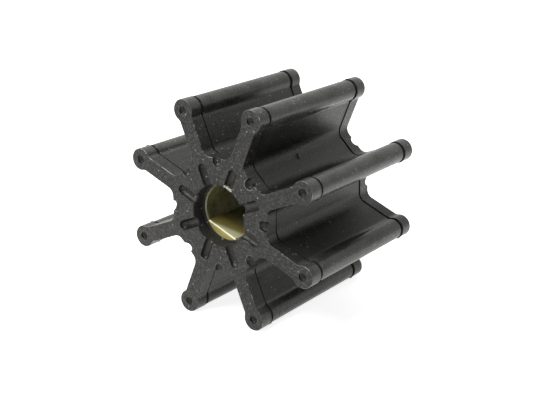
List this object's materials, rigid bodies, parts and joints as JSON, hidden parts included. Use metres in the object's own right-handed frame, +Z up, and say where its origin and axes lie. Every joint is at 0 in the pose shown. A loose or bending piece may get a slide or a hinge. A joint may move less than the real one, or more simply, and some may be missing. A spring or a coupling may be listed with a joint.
{
  "type": "pump impeller",
  "caption": "Flexible-vane rubber pump impeller with straight bulb-tipped vanes, moulded over a brass hub with a D-shaped bore.",
  "frame": {"origin": "middle of the bore, halfway between the two end faces", "axes": "shaft axis along Y with the front face looking to -Y, +Z up as it lies on two vane tips"},
  "size_m": [0.0606, 0.05, 0.0606],
  "materials": {
    "rubber": "satin black",
    "brass": "turned"
  },
  "bodies": {
    "root": {"rubber_impeller": "rubber", "brass_hub": "brass"}
  },
  "joints": []
}
